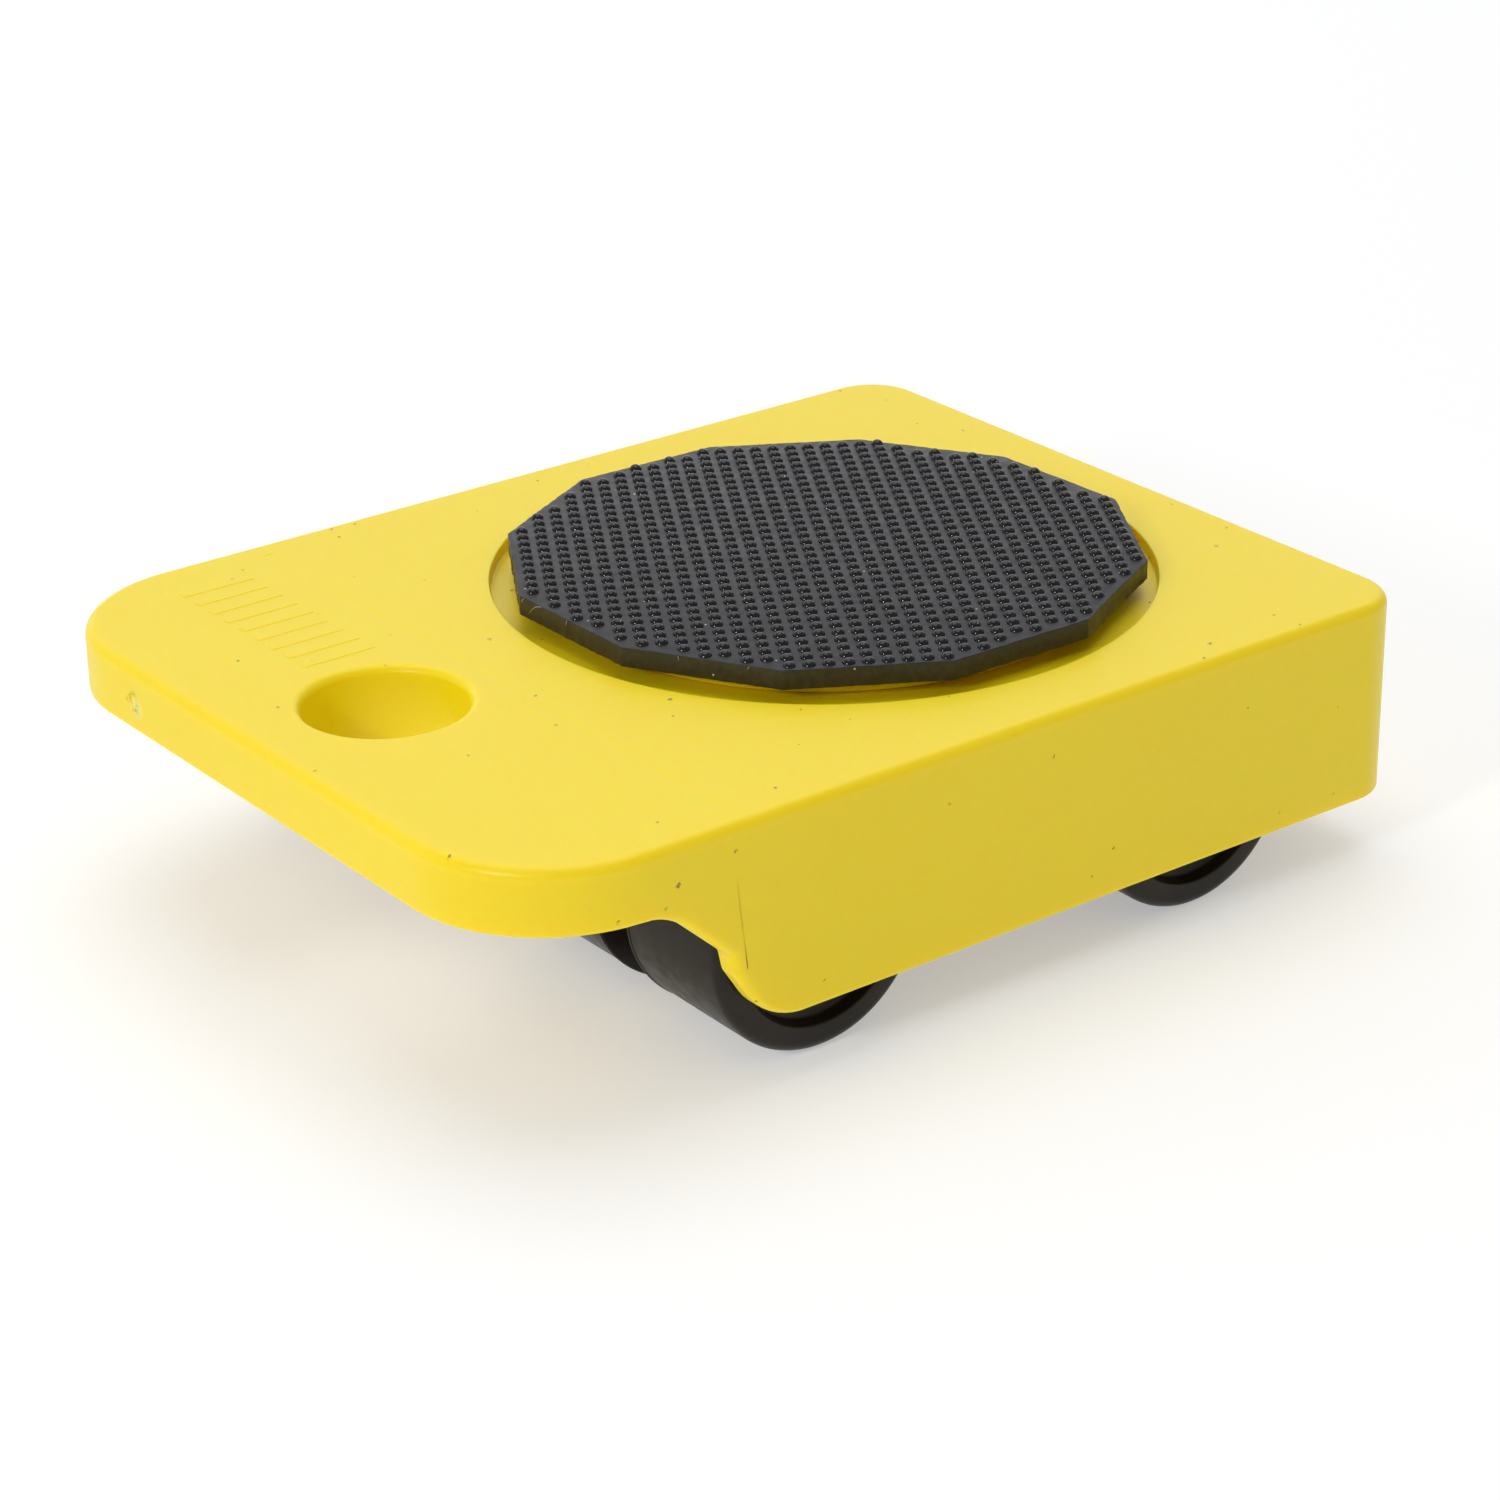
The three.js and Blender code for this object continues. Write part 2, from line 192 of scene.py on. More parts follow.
# The way along Y that the soft tread edge of the wheel at each place faces
PLACES = {"right_outer": -1, "right_inner": 1, "left_inner": -1, "left_outer": 1}
WHEEL_RIM = 2.5 * MM
WEB_RECESS = 1.2 * MM
WEB_DRAFT = 0.4 * MM  # how far the rim's inner wall leans in down to the web
WHEEL_HUB_R = 3.8 * MM
HUB_DRAFT = 0.3 * MM  # how far the hub's wall leans out down to the web
WHEEL_BORE_R = 1.55 * MM
SOFT_EDGE = 1.1 * MM
WEB_FILLET = 0.4 * MM
WHEEL_FILLET = 0.2 * MM
FLASH_FILLET = 0.05 * MM
FLASH = 0.09 * MM  # how far the flash ridge stands proud of the tread
FLASH_EDGE = 0.15 * MM
FLASH_START = 0.12 * MM  # from the wheel's crisp face to the start of the ridge's top
FLASH_TOP_END = 0.3 * MM
FLASH_FOOT = 0.42 * MM

# Stage, in metres, degrees and watts
FLOOR_HALF = 3.0
FLOOR_GLOW = 0.40
ROOM_COLOUR = (0.98, 0.99, 1, 1)
ROOM_STRENGTH = 0.41
# Each light's name, azimuth, elevation, distance, size and power
LIGHTS = [
    ("overhead", 60, 80, 1.0, 1.0, 3.8),
    ("key", 199, 30, 0.4, 0.06, 0.37),
    ("back", 56, 26, 1.5, 2.4, 9.4),
    ("left", 125, 20, 1.5, 1.6, 2.8),
]
CAMERA_TURN = (-37.09, 24.68, -0.75)  # degrees of azimuth, elevation and roll
CAMERA_TARGET = Vector((2.4, -1.0, 10.3)) * MM
CAMERA_DISTANCE = 0.375
CAMERA_LENS = 96.68  # millimetres, like the sensor
CAMERA_SENSOR = 36
CAMERA_CLIP = 0.01


# ---- mesh helpers ----

def mesh_object(name, bm, material=None, smooth_angle=SHARP_ANGLE):
    """An object from a bmesh, smooth except at edges sharper than the angle."""
    bmesh.ops.recalc_face_normals(bm, faces=bm.faces)
    mesh = bpy.data.meshes.new(name)
    bm.to_mesh(mesh)
    bm.free()
    made = bpy.data.objects.new(name, mesh)
    bpy.context.scene.collection.objects.link(made)
    soften(made, smooth_angle)
    if material:
        mesh.materials.append(material)
    return made


def soften(made, angle):
    """Smooth shading that keeps flat faces flat and leaves sharp edges sharp."""
    made.data.polygons.foreach_set("use_smooth", [True] * len(made.data.polygons))
    made.data.set_sharp_from_angle(angle=math.radians(angle))


def weigh_normals(made):
    """Shading that follows the large faces and leaves the bend to the small ones."""
    modifier = made.modifiers.new("flat faces stay flat", "WEIGHTED_NORMAL")
    modifier.keep_sharp = True
    modifier.weight = 100


def coated(made, material):
    """Gives a mesh that booleans made one material all over."""
    made.data.materials.clear()
    made.data.materials.append(material)


def rounded(corners, steps, closed=True):
    """Outline through corners of (x, y, radius), each replaced by an arc of that radius."""
    points = []
    last = len(corners) - 1
    for i, (x, y, radius) in enumerate(corners):
        here = Vector((x, y))
        if radius == 0 or (not closed and i in (0, last)):
            points.append(here)
            continue
        back = (Vector(corners[i - 1][:2]) - here).normalized()
        ahead = (Vector(corners[(i + 1) % len(corners)][:2]) - here).normalized()
        half = back.angle(ahead) / 2
        middle = here + (back + ahead).normalized() * radius / math.sin(half)
        start = here + back * radius / math.tan(half) - middle
        end = here + ahead * radius / math.tan(half) - middle
        sweep = math.atan2(start.x * end.y - start.y * end.x, start.dot(end))
        for k in range(steps + 1):
            turn = sweep * k / steps
            cos, sin = math.cos(turn), math.sin(turn)
            points.append(middle + Vector((start.x * cos - start.y * sin,
                                           start.x * sin + start.y * cos)))
    return points


def on_axis(points):
    """A lathe profile whose points don't pass the axis."""
    return [(max(p.x, 0), p.y) for p in points]


def quarter_turn():
    """Angles from 0 to 90 degrees, for a fillet."""
    return [math.pi / 2 * k / FILLET_STEPS for k in range(FILLET_STEPS + 1)]


def join_rings(bm, rings):
    """Side faces between neighbouring rings of vertices."""
    for one, other in zip(rings, rings[1:]):
        count = len(one)
        for i in range(count):
            j = (i + 1) % count
            bm.faces.new((one[i], one[j], other[j], other[i]))


def lofted(name, rings):
    """Closed solid through rings of points, each with the same number of points."""
    bm = bmesh.new()
    loops = [[bm.verts.new(point) for point in ring] for ring in rings]
    join_rings(bm, loops)
    bm.faces.new(loops[0])
    bm.faces.new(loops[-1])
    return mesh_object(name, bm)


def turned(name, profile, centre=(0, 0, 0), segments=96, closed=False, material=None):
    """Solid of revolution about a vertical line, from a list of (radius, height)."""
    bm = bmesh.new()
    turns = [math.tau * i / segments for i in range(segments)]
    rings = []
    for radius, height in profile:
        around = turns if radius > 0 else [0]
        rings.append([bm.verts.new((radius * math.cos(a), radius * math.sin(a), height))
                      for a in around])
    pairs = list(zip(rings, rings[1:]))
    if closed:
        pairs.append((rings[-1], rings[0]))
    for one, other in pairs:
        for i in range(segments):
            j = (i + 1) % segments
            corners = [one[i % len(one)], one[j % len(one)],
                       other[j % len(other)], other[i % len(other)]]
            bm.faces.new(list(dict.fromkeys(corners)))
    bmesh.ops.translate(bm, verts=bm.verts, vec=centre)
    return mesh_object(name, bm, material)


def prism(name, outline, low, high, place, bevel=0.0):
    """Outline pushed from low to high; place turns (u, v, w) into a point of the frame."""
    bm = bmesh.new()
    ends = [[bm.verts.new(place(u, v, w)) for u, v in outline] for w in (low, high)]
    count = len(outline)
    for i in range(count):
        j = (i + 1) % count
        bm.faces.new((ends[0][i], ends[0][j], ends[1][j], ends[1][i]))
    bm.faces.new(ends[0])
    bm.faces.new(ends[1])
    if bevel:
        bmesh.ops.recalc_face_normals(bm, faces=bm.faces)
        sharp = [edge for edge in bm.edges if edge.calc_face_angle(0) > BEVEL_ANGLE]
        bmesh.ops.bevel(bm, geom=sharp, offset=bevel, segments=3, affect="EDGES", profile=0.5)
    return mesh_object(name, bm)


def along_x(u, v, w):
    """A prism's point where its outline is in Y and Z and it runs along X."""
    return (w, u, v)


def along_y(u, v, w):
    """A prism's point where its outline is in X and Z and it runs along Y."""
    return (u, w, v)


def along_z(u, v, w):
    """A prism's point where its outline is in X and Y and it runs along Z."""
    return (u, v, w)


def combine(target, operation, tools):
    """Joins the tools to the target or cuts them out of it, exactly, and removes them."""
    for tool in tools:
        modifier = target.modifiers.new(operation, "BOOLEAN")
        modifier.operation = operation
        modifier.solver = "MANIFOLD"
        modifier.object = tool
    depsgraph = bpy.context.evaluated_depsgraph_get()
    mesh = bpy.data.meshes.new_from_object(target.evaluated_get(depsgraph))
    target.modifiers.clear()
    target.data = mesh
    for tool in tools:
        bpy.data.objects.remove(tool)


def table_centre():
    """Where the turntable's axis meets the floor."""
    low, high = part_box("turntable")
    return Vector(((low.x + high.x) / 2, (low.y + high.y) / 2, 0))


def finished(made, body, slot, *nodes):
    """The piece rides on its body and the CAD nodes that it stands in for are hidden. The slot is
    not used.
    """
    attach(made, body)
    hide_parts(*nodes)
    return made


# ---- material helpers ----

def add(tree, kind, inputs=None, **settings):
    """A new shader node; an input is a number, a colour or another node's socket."""
    made = tree.nodes.new(kind)
    for key, value in settings.items():
        setattr(made, key, value)
    for key, value in (inputs or {}).items():
        if isinstance(value, bpy.types.NodeSocket):
            tree.links.new(value, made.inputs[key])
        else:
            made.inputs[key].default_value = value
    return made


def new_material(name, **constants):
    """A material, its tree, its shader and object coordinates in millimetres."""
    material = bpy.data.materials.new(name)
    material.use_nodes = True
    tree = material.node_tree
    shader = tree.nodes["Principled BSDF"]
    for key, value in constants.items():
        shader.inputs[key.replace("_", " ")].default_value = value
    where = add(tree, "ShaderNodeTexCoord").outputs["Object"]
    scaled = add(tree, "ShaderNodeVectorMath", {0: where, "Scale": 1 / MM}, operation="SCALE")
    return material, tree, shader, scaled.outputs["Vector"]


def clouds(tree, where, size, detail=3.0, roughness=0.5):
    """Soft noise from 0 to 1 whose features are about size millimetres across."""
    made = add(tree, "ShaderNodeTexNoise", {"Vector": where, "Scale": 1 / size,
                                            "Detail": detail, "Roughness": roughness})
    return made.outputs["Fac"]


def ramp(tree, value, start, end, low=0.0, high=1.0):
    """Maps start..end to low..high and holds it there outside."""
    inputs = {"Value": value, "From Min": start, "From Max": end, "To Min": low, "To Max": high}
    return add(tree, "ShaderNodeMapRange", inputs).outputs["Result"]


def maths(tree, operation, *values):
    """The result of a sum on numbers or sockets."""
    return add(tree, "ShaderNodeMath", dict(enumerate(values)), operation=operation).outputs[0]


def vectors(tree, operation, one, other):
    """The node for a sum on two vectors."""
    return add(tree, "ShaderNodeVectorMath", {0: one, 1: other}, operation=operation)


def mixed(tree, share, one, other):
    """One colour turning into the other as share goes from 0 to 1."""
    inputs = {0: share, 6: one, 7: other}
    return add(tree, "ShaderNodeMix", inputs, data_type="RGBA").outputs[2]


def specks(tree, where, spacing, size, share):
    """Mask of scattered specks, one in a cell at most, in that share of the cells."""
    edge = size / spacing
    core = 0.6 * edge
    cells = add(tree, "ShaderNodeTexVoronoi", {"Vector": where, "Scale": 1 / spacing})
    near = ramp(tree, cells.outputs["Distance"], core, edge, low=1, high=0)
    lucky = add(tree, "ShaderNodeSeparateColor", {0: cells.outputs["Color"]}).outputs[0]
    return maths(tree, "MULTIPLY", near, maths(tree, "LESS_THAN", lucky, share))


def bumped(tree, shader, height, depth):
    """Height from 0 to 1 as a bump of that depth in millimetres."""
    bump = add(tree, "ShaderNodeBump", {"Height": height, "Strength": 1.0, "Distance": depth * MM})
    tree.links.new(bump.outputs["Normal"], shader.inputs["Normal"])


def coloured(tree, shader, colour, roughness):
    """Links a colour and a roughness to the shader."""
    tree.links.new(colour, shader.inputs["Base Color"])
    tree.links.new(roughness, shader.inputs["Roughness"])


# ---- materials: sizes are in millimetres, colours are linear red, green, blue and alpha ----

def near_gate(tree, where):
    """Mask of the plastic that whitened where the gate was torn off."""
    distance = vectors(tree, "DISTANCE", where, GATE / MM).outputs["Value"]
    return ramp(tree, distance, 0.5, 1.4, low=0.7, high=0)


def painted_glow_in_hole(tree, where):
    """Mask of the wall of the finger hole, up to its rounded rim, where a painted glow stands in for
    light shining through the thin plastic.
    """
    in_plan = vectors(tree, "MULTIPLY", where, (1, 1, 0)).outputs["Vector"]
    distance = vectors(tree, "DISTANCE", in_plan, HOLE / MM).outputs["Value"]
    return ramp(tree, distance, HOLE_R / MM + 0.1, (HOLE_R + HOLE_FILLET) / MM, low=1, high=0)


def dark_specks(tree, where):
    """Mask of two sizes of speck."""
    small = specks(tree, where, spacing=2.3, size=0.19, share=0.22)
    large = specks(tree, where, spacing=5.5, size=0.27, share=0.3)
    return maths(tree, "MAXIMUM", small, large)


def yellow_plastic():
    """Translucent moulded plastic with dark specks, pale at the torn gate, with a painted glow on
    the wall of the finger hole.
    """
    golden = (0.96, 0.69, 0.006, 1)
    lemon = (0.98, 0.72, 0.010, 1)
    whitened = (0.95, 0.86, 0.3, 1)
    painted_hole_glow = (1.0, 0.75, 0.004, 1)
    dark_brown = (0.12, 0.07, 0.01, 1)
    material, tree, shader, where = new_material(
        "yellow_plastic", Subsurface_Weight=1.0, Subsurface_Scale=1.0 * MM,
        Subsurface_Radius=(1.0, 0.6, 0.1), IOR=1.4)
    ragged = vectors(tree, "ADD", where, clouds(tree, where, size=0.15, detail=2)).outputs["Vector"]
    dark = dark_specks(tree, ragged)
    colour = mixed(tree, clouds(tree, where, size=18, detail=2), golden, lemon)
    colour = mixed(tree, near_gate(tree, ragged), colour, whitened)
    # painted light: the finger hole's wall is painted a brighter yellow, standing in for light that
    # shines through its thin walls
    colour = mixed(tree, painted_glow_in_hole(tree, where), colour, painted_hole_glow)
    colour = mixed(tree, dark, colour, dark_brown)
    scuff = ramp(tree, clouds(tree, where, size=1.3, detail=6, roughness=0.65), 0.52, 0.72)
    coloured(tree, shader, colour, maths(tree, "MULTIPLY_ADD", scuff, 0.10, 0.36))
    tree.links.new(maths(tree, "SUBTRACT", 1, dark), shader.inputs["Subsurface Weight"])
    grain = clouds(tree, where, size=0.22, detail=3, roughness=0.6)
    wave = clouds(tree, where, size=9, detail=1)
    bumped(tree, shader, maths(tree, "MULTIPLY_ADD", wave, 6.0, grain), depth=0.004)
    return material


def pad_rubber():
    """Dull rubber sheet with dust and pale crumbs on it, and paler cut sides tinted with painted
    yellow light bounced off the carrier.
    """
    clean = (0.013, 0.013, 0.019, 1)
    dusty = (0.036, 0.036, 0.044, 1)
    # cut sides: paler cut rubber, with an olive tint that is painted yellow light bounced off the
    # carrier
    dark_cut_yellow_bounce = (0.014, 0.013, 0.007, 1)
    pale_cut_yellow_bounce = (0.055, 0.05, 0.024, 1)
    crumb = (0.6, 0.59, 0.54, 1)
    material, tree, shader, where = new_material("pad_rubber", IOR=1.38)
    height = add(tree, "ShaderNodeSeparateXYZ", {0: where}).outputs["Z"]
    on_face = ramp(tree, height, PAD_FACE / MM - 0.1, PAD_FACE / MM - 0.02)
    dust = ramp(tree, clouds(tree, where, size=6, detail=4, roughness=0.6), 0.45, 0.75, high=0.5)
    sheet = mixed(tree, dust, clean, dusty)
    cut = mixed(tree, clouds(tree, where, size=0.6, detail=4), dark_cut_yellow_bounce, pale_cut_yellow_bounce)
    small = specks(tree, where, spacing=1.1, size=0.11, share=0.16)
    large = specks(tree, where, spacing=3.1, size=0.17, share=0.2)
    crumbs = maths(tree, "MAXIMUM", small, large)
    colour = mixed(tree, crumbs, mixed(tree, on_face, cut, sheet), crumb)
    rough = ramp(tree, clouds(tree, where, size=1.2, detail=4), 0.3, 0.7, low=0.36, high=0.5)
    coloured(tree, shader, colour, rough)
    bumped(tree, shader, clouds(tree, where, size=0.16), depth=0.006)
    return material


def stud_rubber():
    """The same rubber moulded smooth and shiny on the domes."""
    black = (0.003, 0.003, 0.003, 1)
    dusty = (0.03, 0.03, 0.032, 1)
    crumb = (0.6, 0.6, 0.58, 1)
    material, tree, shader, where = new_material("stud_rubber", IOR=1.45)
    dust = ramp(tree, clouds(tree, where, size=0.8, detail=5, roughness=0.7), 0.55, 0.8, high=0.6)
    crumbs = specks(tree, where, spacing=0.9, size=0.09, share=0.1)
    colour = mixed(tree, crumbs, mixed(tree, dust, black, dusty), crumb)
    rough = ramp(tree, clouds(tree, where, size=0.7, detail=4), 0.3, 0.7, low=0.08, high=0.16)
    coloured(tree, shader, colour, rough)
    bumped(tree, shader, clouds(tree, where, size=0.3), depth=0.006)
    return material


def pale_thread():
    """Uneven off-white fibre."""
    grey = (0.28, 0.27, 0.23, 1)
    off_white = (0.6, 0.58, 0.5, 1)
    material, tree, shader, where = new_material("pale_thread", IOR=1.4)
    colour = mixed(tree, clouds(tree, where, size=0.3), grey, off_white)
    rough = ramp(tree, clouds(tree, where, size=0.2), 0.3, 0.7, low=0.5, high=0.7)
    coloured(tree, shader, colour, rough)
    bumped(tree, shader, clouds(tree, where, size=0.05), depth=0.002)
    return material


def black_plastic():
    """Dark moulded plastic with pale nicks."""
    black = (0.008, 0.006, 0.004, 1)
    brown_black = (0.019, 0.013, 0.008, 1)
    nick = (0.12, 0.10, 0.06, 1)
    material, tree, shader, where = new_material("black_plastic", IOR=1.33)
    tint = mixed(tree, clouds(tree, where, size=4), black, brown_black)
    colour = mixed(tree, specks(tree, where, spacing=2.1, size=0.2, share=0.25), tint, nick)
    rough = ramp(tree, clouds(tree, where, size=1.5, detail=5), 0.3, 0.7, low=0.28, high=0.45)
    coloured(tree, shader, colour, rough)
    bumped(tree, shader, clouds(tree, where, size=0.3), depth=0.006)
    return material


def steel(name, colour, roughness):
    """Drawn metal with fine lines in it, a little darker along them."""
    darker = tuple(0.82 * c for c in colour[:3]) + (1,)
    material, tree, shader, where = new_material(name, Metallic=1.0)
    stretched = add(tree, "ShaderNodeMapping", {"Vector": where, "Scale": (1, 0.08, 1)})
    lines = clouds(tree, stretched.outputs["Vector"], size=0.25, detail=4)
    rough = ramp(tree, lines, 0.3, 0.7, low=roughness - 0.06, high=roughness + 0.08)
    coloured(tree, shader, mixed(tree, lines, colour, darker), rough)
    bumped(tree, shader, lines, depth=0.004)
    return material


# ---- carrier ----

def skirt_edge():
    """Points of the lower rim in side view, from under the lip to under the skirt."""
    corners = [(x * MM, TOP - depth * MM, radius * MM) for x, depth, radius in SKIRT_EDGE]
    start = (-2 * END, LIP_Z, 0)
    end = (2 * END, SKIRT_Z, 0)
    return rounded([start, *corners, end], steps=8, closed=False)


EDGE_POINTS = skirt_edge()


def rim_height(x):
    """Height of the outer lower rim at that place along X."""
    for one, other in zip(EDGE_POINTS, EDGE_POINTS[1:]):
        if x <= other.x:
            share = (x - one.x) / (other.x - one.x)
            return one.y + (other.y - one.y) * share
    return SKIRT_Z


def plan_loop(margin):
    """The carrier seen from above, moved in by a margin, anticlockwise from the lip's end."""
    x, y = END - margin, HALF - margin
    lip, back = LIP_CORNER - margin, BACK_CORNER - margin
    corners = [(-x, -y, lip), (x, -y, back), (x, y, back), (-x, y, lip)]
    loop = rounded(corners, CORNER_STEPS)
    straight = [p.x for p in EDGE_POINTS if -END + LIP_CORNER < p.x < END - BACK_CORNER]
    near = [Vector((px, -y)) for px in straight]
    far = [Vector((px, y)) for px in reversed(straight)]
    arc = CORNER_STEPS + 1
    return loop[:arc] + near + loop[arc:3 * arc] + far + loop[3 * arc:]


def rim_frames():
    """At each point of the outer lower rim: the point, inwards, down and the outer fillet."""
    outer, inner = plan_loop(0), plan_loop(MM)
    rim = [Vector((p.x, p.y, rim_height(p.x))) for p in outer]
    count = len(rim)
    frames = []
    for i, point in enumerate(rim):
        along = rim[(i + 1) % count] - rim[i - 1]
        inwards = (inner[i] - outer[i]).to_3d() / MM
        down = inwards.cross(along).normalized()
        steepness = abs(along.normalized().z)
        fillet = RIM_FILLET + (FRONT_FILLET - RIM_FILLET) * steepness
        frames.append((point, inwards, down, fillet))
    return frames


def carrier_block():
    """Plate, lip and skirt in one hollow body, with rounded top edge and lower rim."""
    frames = rim_frames()
    rings = []

    def flat_ring(margin, z):
        rings.append([(p.x, p.y, z) for p in plan_loop(margin)])

    def wall_ring(above_fillet):
        rings.append([point - down * (fillet + above_fillet)
                      for point, _, down, fillet in frames])

    def outer_rim_ring(turn):
        rings.append([point + inwards * fillet * (1 - math.cos(turn))
                      - down * fillet * (1 - math.sin(turn))
                      for point, inwards, down, fillet in frames])

    def inner_rim_ring(turn):
        rings.append([point + inwards * (WALL - RIM_FILLET * (1 - math.sin(turn)))
                      - down * RIM_FILLET * (1 - math.cos(turn))
                      for point, inwards, down, _ in frames])

    turns = quarter_turn()
    for turn in turns:
        flat_ring(TOP_FILLET * (1 - math.sin(turn)), TOP - TOP_FILLET * (1 - math.cos(turn)))
    flat_ring(0, LIP_Z + 2 * FRONT_FILLET)
    wall_ring(ABOVE_FILLET)
    for turn in turns:
        outer_rim_ring(turn)
    for turn in turns:
        inner_rim_ring(turn)
    flat_ring(WALL, CEILING)
    return lofted("carrier_body", rings)


def ribs():
    """Stiffening ribs under the plate."""
    half = RIB / 2
    section = rounded([(-half, RIB_LOW, LOWER_EDGE), (half, RIB_LOW, LOWER_EDGE),
                       (half, CEILING + EMBED, 0), (-half, CEILING + EMBED, 0)], steps=3)
    made = []
    for y, _ in PEDESTALS:
        moved = [(u + y, v) for u, v in section]
        made.append(prism("rib", moved, -END + WALL / 2, END - WALL / 2, along_x))
    for x in RIBS_ACROSS:
        moved = [(u + x, v) for u, v in section]
        made.append(prism("rib", moved, -HALF + WALL / 2, HALF - WALL / 2, along_y))
    return made


def pedestal(x, z, y, thickness):
    """Web that hangs from the plate and carries an axle."""
    high = CEILING + EMBED
    shoulder = z + PEDESTAL_ABOVE_AXLE
    low = z - PEDESTAL_BELOW_AXLE
    outline = [(x - PEDESTAL_HALF, low), (x + PEDESTAL_HALF, low), (x + PEDESTAL_HALF, shoulder),
               (x + PEDESTAL_FOOT, high), (x - PEDESTAL_FOOT, high), (x - PEDESTAL_HALF, shoulder)]
    near, far = y - thickness / 2, y + thickness / 2
    return prism("pedestal", outline, near, far, along_y, PEDESTAL_EDGE)


def axle_slot(x, z):
    """Keyhole slot that the axle snaps into from below."""
    throat = math.asin(THROAT / 2 / SEAT_R)
    low = SKIRT_Z - PAST
    outline = [(x - MOUTH / 2, low), (x + MOUTH / 2, low), (x + THROAT / 2, SKIRT_Z + MOUTH_HEIGHT)]
    for k in range(SEAT_STEPS + 1):
        turn = throat - math.pi / 2 + (math.tau - 2 * throat) * k / SEAT_STEPS
        outline.append((x + SEAT_R * math.cos(turn), z + SEAT_R * math.sin(turn)))
    outline.append((x - THROAT / 2, SKIRT_Z + MOUTH_HEIGHT))
    reach = HALF - WALL + SEAT_IN_WALL
    return prism("slot", outline, -reach, reach, along_y)


def flared(radius, fillet, low, floor_fillet=0.0):
    """Profile of a round cutter whose top edge leaves a rounded rim."""
    above = TOP + PAST
    profile = [(0, low), (radius - floor_fillet, low)]
    turns = quarter_turn()
    if floor_fillet:
        for turn in turns[1:]:
            profile.append((radius - floor_fillet * (1 - math.sin(turn)),
                            low + floor_fillet * (1 - math.cos(turn))))
    for turn in turns:
        profile.append((radius + fillet * (1 - math.cos(turn)), TOP - fillet * (1 - math.sin(turn))))
    profile += [(radius + fillet, above), (0, above)]
    return profile


def grip_bars():
    """Raised bars beside the finger hole."""
    made = []
    for y in BARS_Y:
        outline = [(BARS_X[0], y - BAR_WIDTH / 2), (BARS_X[1], y - BAR_WIDTH / 2),
                   (BARS_X[1], y + BAR_WIDTH / 2), (BARS_X[0], y + BAR_WIDTH / 2)]
        made.append(prism("bar", outline, TOP - BAR_DEPTH, TOP + BAR_HEIGHT, along_z, BAR_EDGE))
    return made


def sink_line():
    """Cutter for the shallow sink line across the plate, over the skirt's front edge."""
    steps = 12
    outline = []
    for k in range(steps + 1):
        u = SINK_HALF * (2 * k / steps - 1)
        outline.append((SINK_X + u, TOP - SINK_DEPTH * (1 + math.cos(math.pi * u / SINK_HALF)) / 2))
    outline += [(SINK_X + SINK_HALF, TOP + PAST), (SINK_X - SINK_HALF, TOP + PAST)]
    return prism("sink", outline, -HALF + SINK_FROM_SIDE, HALF - SINK_FROM_SIDE, along_y)


def gate_lump(name, shift, size):
    """An irregular lump at the gate, moved by the shift."""
    centre = GATE + shift
    bm = bmesh.new()
    bmesh.ops.create_icosphere(bm, subdivisions=4, radius=1)
    for vertex in bm.verts:
        swell = 1 + LUMP_ROUGHNESS * noise.noise(vertex.co * LUMP_DETAIL + centre / MM)
        vertex.co = Vector(c * s for c, s in zip(vertex.co * swell, size)) + centre
    return mesh_object(name, bm)


def collar(name, radius, low, centre):
    """Round wall that hangs from the plate, before its hole is cut."""
    high = CEILING + EMBED
    corners = [(0, low, 0), (radius, low, LOWER_EDGE), (radius, high, 0), (0, high, 0)]
    return turned(name, rounded(corners, steps=4), centre)


def hub_hole(centre):
    """Cutter for the hole that the turntable's hub runs in."""
    low = LIP_Z - PAST
    profile = [(0, low), (HUB_HOLE_R, low), (HUB_HOLE_R, TOP), (0, TOP)]
    return turned("hub hole", profile, centre)


def carrier_body(material):
    """The one moulding of plate, lip, skirt, ribs and seats."""
    centre = table_centre()
    recess = flared(RECESS_R, RECESS_EDGE, RECESS_FLOOR, RECESS_FLOOR_EDGE)
    hole = flared(HOLE_R, HOLE_FILLET, LIP_Z - 2 * PAST)
    body = carrier_block()
    additions = [
        *ribs(),
        collar("collar", COLLAR_R, COLLAR_LOW, HOLE),
        collar("boss", BOSS_R, BOSS_LOW, centre),
        *grip_bars(),
    ]
    cuts = [
        turned("recess", recess, centre, segments=192),
        hub_hole(centre),
        turned("hole", hole, HOLE, segments=128),
        sink_line(),
        gate_lump("tear", *TEAR),
    ]
    for name in AXLES:
        low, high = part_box(name + "_axle")
        x, z = (low.x + high.x) / 2, (low.z + high.z) / 2
        additions += [pedestal(x, z, y, thickness) for y, thickness in PEDESTALS]
        cuts.append(axle_slot(x, z))
    combine(body, "UNION", additions)
    combine(body, "DIFFERENCE", cuts)
    combine(body, "UNION", [gate_lump("flake", *FLAKE)])
    soften(body, SHARP_ANGLE)
    weigh_normals(body)
    coated(body, material)
    return finished(body, "carrier", "yellow_plastic", "carrier_shell")


# ---- turntable and pad ----

